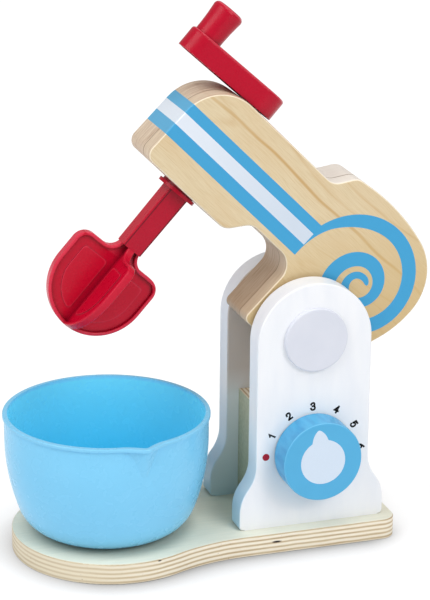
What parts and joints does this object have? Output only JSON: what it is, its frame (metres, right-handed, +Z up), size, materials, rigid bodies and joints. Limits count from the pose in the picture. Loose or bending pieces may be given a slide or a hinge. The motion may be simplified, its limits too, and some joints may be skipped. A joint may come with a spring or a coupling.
{
  "type": "toy stand mixer",
  "caption": "Wooden toy stand mixer with a tilting head, a hand crank that turns a crossed beater, a numbered dial, a waisted base board and a loose bowl with a pouring lip.",
  "frame": {"origin": "on the underside of the base board, straight below the pivot that the head tilts on", "axes": "+Z up, -X towards the bowl and the nose of the head, -Y towards the side with the dial"},
  "size_m": [0.2424, 0.1209, 0.308],
  "materials": {
    "base_plywood": "satin",
    "bare_plywood": "satin",
    "white_painted_wood": "satin",
    "head_wood": "satin",
    "red_plastic": "gloss",
    "dial_blue_plastic": "satin",
    "bowl_blue_plastic": "satin",
    "pale_grey_plastic": "satin",
    "zinc_steel": "zinc plated",
    "spindle_steel": "bright",
    "sleeve_aluminium": "satin",
    "bushing_nylon": "matte",
    "black_rubber": "matte",
    "grey_felt": "matte"
  },
  "bodies": {
    "stand": {"base_board": "base_plywood", "base_screws": "zinc_steel", "near_side_panel": "white_painted_wood", "far_side_panel": "white_painted_wood", "brace_board": "bare_plywood", "brace_dowels": "bare_plywood", "pivot_bolt": "zinc_steel", "pivot_nut": "zinc_steel", "pivot_plain_washers": "zinc_steel", "near_friction_washer": "black_rubber", "far_friction_washer": "black_rubber", "near_pivot_cap": "pale_grey_plastic", "far_pivot_cap": "pale_grey_plastic"},
    "head": {"head_near_board": "head_wood", "head_far_board": "head_wood", "pivot_sleeve": "sleeve_aluminium", "lower_bushing": "bushing_nylon", "upper_bushing": "bushing_nylon"},
    "beater_drive": {"crank_handle": "red_plastic", "crank_screw": "zinc_steel", "drive_spindle": "spindle_steel", "beater": "red_plastic"},
    "dial": {"dial": "dial_blue_plastic", "dial_screw": "zinc_steel", "dial_washer": "zinc_steel", "dial_felt_ring": "grey_felt"},
    "bowl": {"bowl": "bowl_blue_plastic"}
  },
  "joints": [
    {"name": "head_tilt", "type": "hinge", "parent": "stand", "child": "head", "pos_m": [0, 0, 0.1224], "axis": [0, 1, 0], "range_deg": [-45, 0]},
    {"name": "beater_turn", "type": "hinge", "parent": "head", "child": "beater_drive", "pos_m": [-0.0693, 0, 0.20612], "axis": [0.6691, 0, 0.7431], "continuous": true},
    {"name": "dial_turn", "type": "hinge", "parent": "stand", "child": "dial", "pos_m": [0, 0, 0.0553], "axis": [0, 1, 0], "range_deg": [-82, 98]},
    {"name": "bowl_slide", "type": "slide", "parent": "stand", "child": "bowl", "axis": [-1, 0, 0], "range_m": [0, 0.125]}
  ]
}
